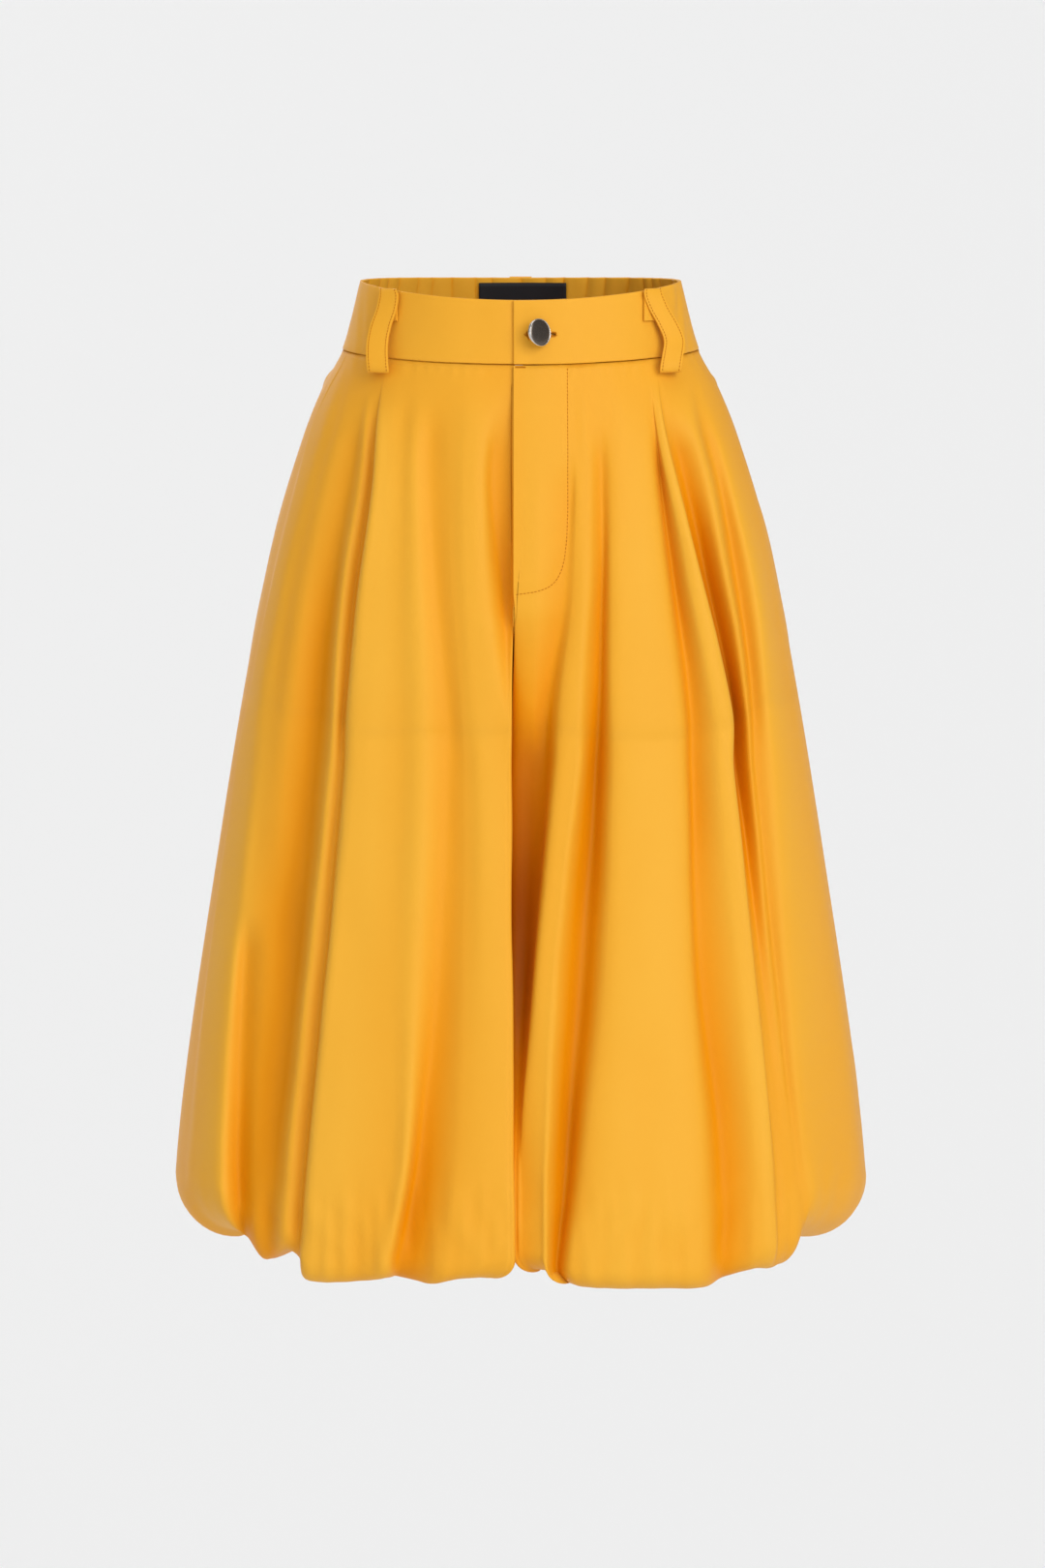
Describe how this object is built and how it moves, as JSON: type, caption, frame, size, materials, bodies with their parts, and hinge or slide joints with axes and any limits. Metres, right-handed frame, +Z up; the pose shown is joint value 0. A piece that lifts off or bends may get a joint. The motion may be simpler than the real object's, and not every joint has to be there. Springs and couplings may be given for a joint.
{
  "type": "high-waisted bubble-hem wide-leg shorts",
  "caption": "High-waisted, wide-leg shorts in smooth cloth, filled out and hollow, with a fly, belt loops, an elastic back waist and a hem that rolls under.",
  "frame": {"origin": "the middle of the waistband, halfway up it, inside the hollow where the wearer's waist holds the shorts up", "axes": "+Z up out of the waist, -Y to the front, +X to the wearer's left"},
  "size_m": [0.5026, 0.3461, 0.7149],
  "materials": {
    "cloth": "smooth marigold twill with a soft sheen",
    "label_cloth": "black woven tape",
    "dark_metal": "dark polished metal with a bright rim",
    "bright_metal": "plain bright metal"
  },
  "bodies": {
    "root": {"front_left": "cloth", "front_right": "cloth", "back_left": "cloth", "back_right": "cloth", "hem_band_left": "cloth", "hem_band_right": "cloth", "waistband_front_left": "cloth", "waistband_front_right": "cloth", "waistband_back": "cloth", "belt_loop_front_left": "cloth", "belt_loop_front_right": "cloth", "belt_loop_back": "cloth", "fly_facing": "cloth", "fly_shield": "cloth", "zip": "cloth", "zip_slider": "bright_metal", "button": "dark_metal", "button_tack": "bright_metal", "label": "label_cloth"}
  },
  "joints": []
}
